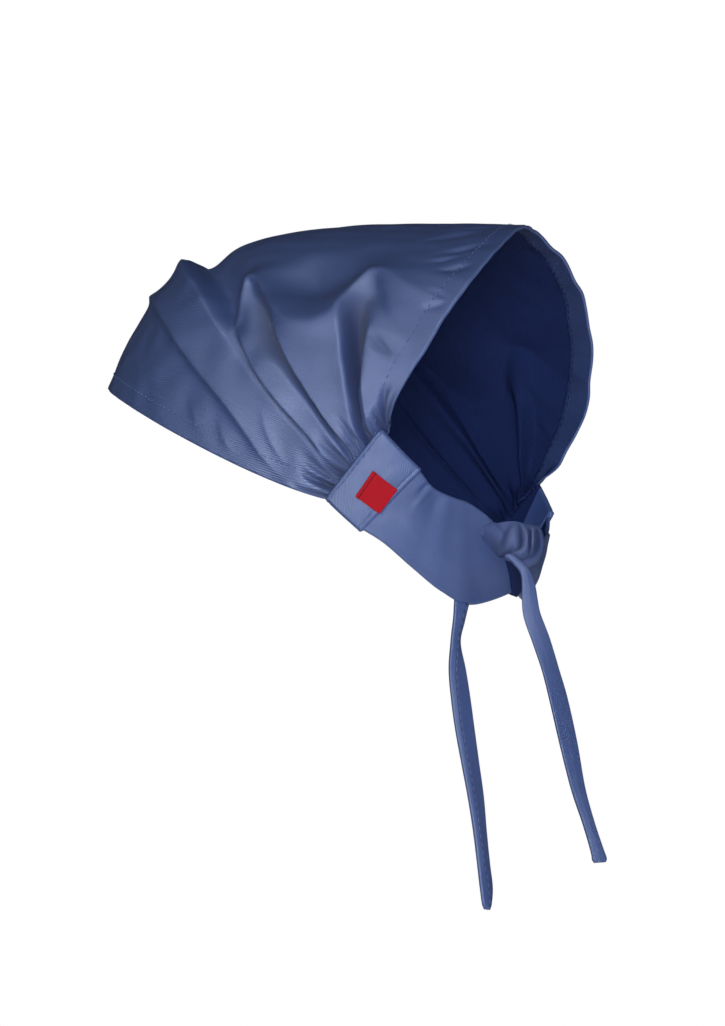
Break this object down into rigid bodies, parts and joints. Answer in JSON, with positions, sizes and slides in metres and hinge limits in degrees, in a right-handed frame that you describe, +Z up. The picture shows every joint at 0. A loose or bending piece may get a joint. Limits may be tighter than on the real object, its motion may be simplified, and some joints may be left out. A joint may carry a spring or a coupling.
{
  "type": "chef bandana",
  "caption": "Gathered cloth crown that goes from ear to ear over the head, with side cuffs, wide straps knotted at the nape and hanging ties.",
  "frame": {"origin": "inside top of the crown, where the wearer's head carries it", "axes": "+X to the wearer's left, -Y towards the face, +Z up; the forehead is raised by 30 degrees as in the picture"},
  "size_m": [0.1771, 0.2277, 0.3282],
  "materials": {
    "twill": "fine blue twill with a slight satin sheen",
    "label": "plain red woven label"
  },
  "bodies": {
    "root": {"crown": "twill", "cuff_left": "twill", "cuff_right": "twill", "label_left": "label", "strap_left": "twill", "strap_right": "twill", "knot": "twill", "tie_left": "twill", "tie_right": "twill"}
  },
  "joints": []
}
